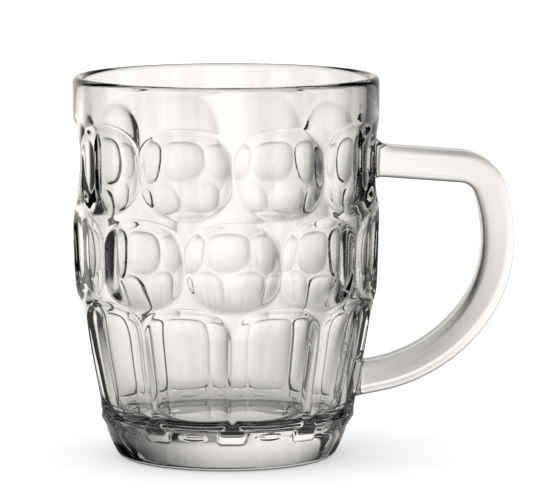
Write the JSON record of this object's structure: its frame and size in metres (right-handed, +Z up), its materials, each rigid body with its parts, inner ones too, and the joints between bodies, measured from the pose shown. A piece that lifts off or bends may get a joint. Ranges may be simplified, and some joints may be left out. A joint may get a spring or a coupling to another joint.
{
  "type": "beer mug",
  "caption": "Heavy pressed-glass beer mug with rings of shallow dimples, upright flutes, a thick base and a fused C-shaped handle.",
  "frame": {"origin": "centre of the ring under the foot, on the table", "axes": "+Z up along the bowl's axis, +X from the bowl's axis towards the handle, +Y to the left of the handle"},
  "size_m": [0.1385, 0.0962, 0.12],
  "materials": {
    "bowl_glass": "clear pressed glass, fire polished",
    "handle_glass": "clear pressed glass, fire polished"
  },
  "bodies": {
    "root": {"bowl": "bowl_glass", "handle": "handle_glass"}
  },
  "joints": []
}
